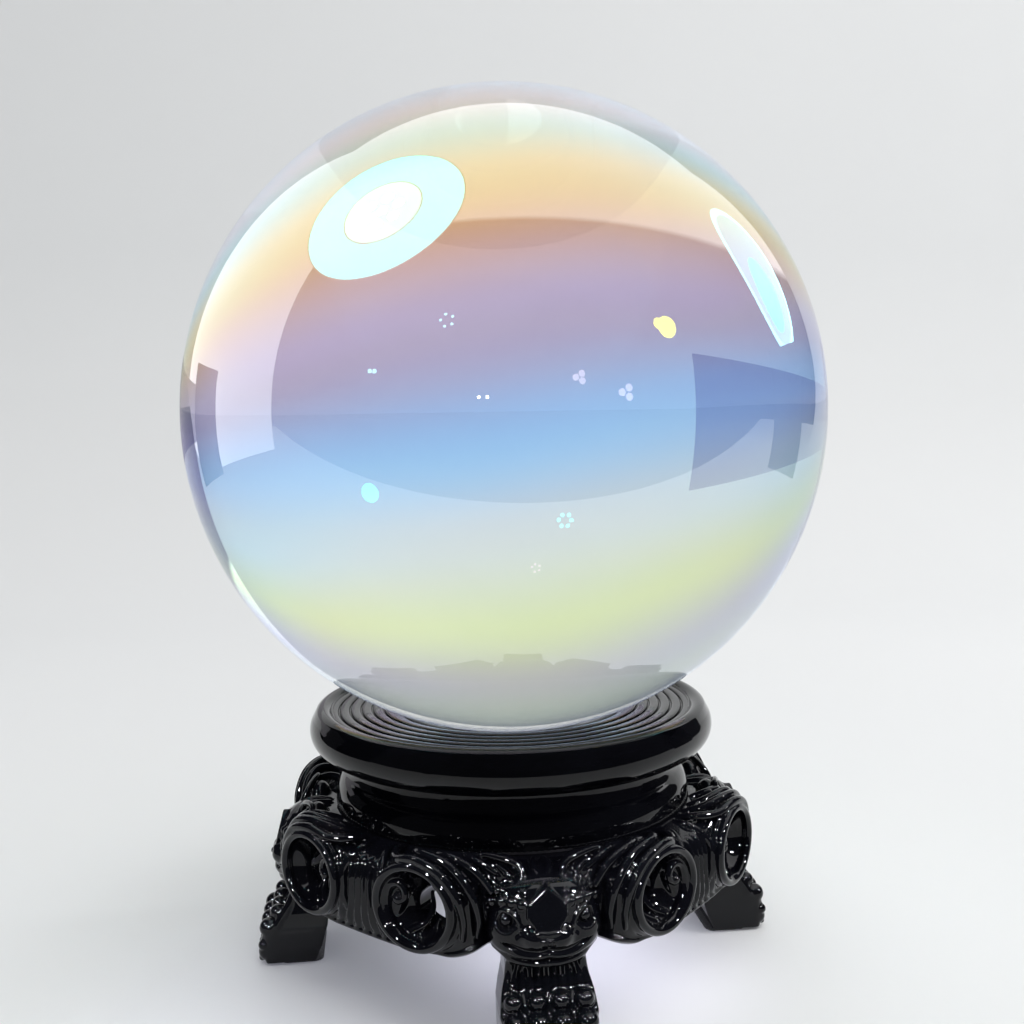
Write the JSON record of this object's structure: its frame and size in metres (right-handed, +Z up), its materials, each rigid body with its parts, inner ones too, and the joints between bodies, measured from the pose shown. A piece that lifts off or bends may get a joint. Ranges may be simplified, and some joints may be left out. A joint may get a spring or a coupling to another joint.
{
  "type": "crystal ball",
  "caption": "Clear iridescent glass ball resting on a gloss black carved stand with lion masks, pierced scrolls and paw feet.",
  "frame": {"origin": "centre of the footprint on the surface that the felt pads rest on, straight under the middle of the ball", "axes": "+Z up through the middle of the ball and the dish; the front leg points along -Y and the other legs along +X, +Y and -X"},
  "size_m": [0.15, 0.15, 0.203],
  "materials": {
    "crystal_glass": "polished solid glass with a thin iridescent coating",
    "black_gloss_resin": "cast resin with a gloss black lacquer",
    "black_satin_resin": "plain cast resin, hidden inside the stand",
    "black_felt": "short felt",
    "zinc_steel": "bright zinc plate"
  },
  "bodies": {
    "stand": {"seat_felt": "black_felt", "seat_dish": "black_gloss_resin", "neck_collar": "black_gloss_resin", "tie_ring": "black_satin_resin", "dish_screws": "zinc_steel", "leg_screws": "zinc_steel", "apron_pins": "zinc_steel", "apron_front_right": "black_gloss_resin", "apron_back_right": "black_gloss_resin", "apron_back_left": "black_gloss_resin", "apron_front_left": "black_gloss_resin", "leg_front": "black_gloss_resin", "leg_right": "black_gloss_resin", "leg_back": "black_gloss_resin", "leg_left": "black_gloss_resin", "foot_pad_front": "black_felt", "foot_pad_right": "black_felt", "foot_pad_back": "black_felt", "foot_pad_left": "black_felt"},
    "ball": {"crystal_ball": "crystal_glass"}
  },
  "joints": [
    {"name": "ball_lift", "type": "slide", "parent": "stand", "child": "ball", "axis": [0, 0, 1], "range_m": [0, 0.12]}
  ]
}
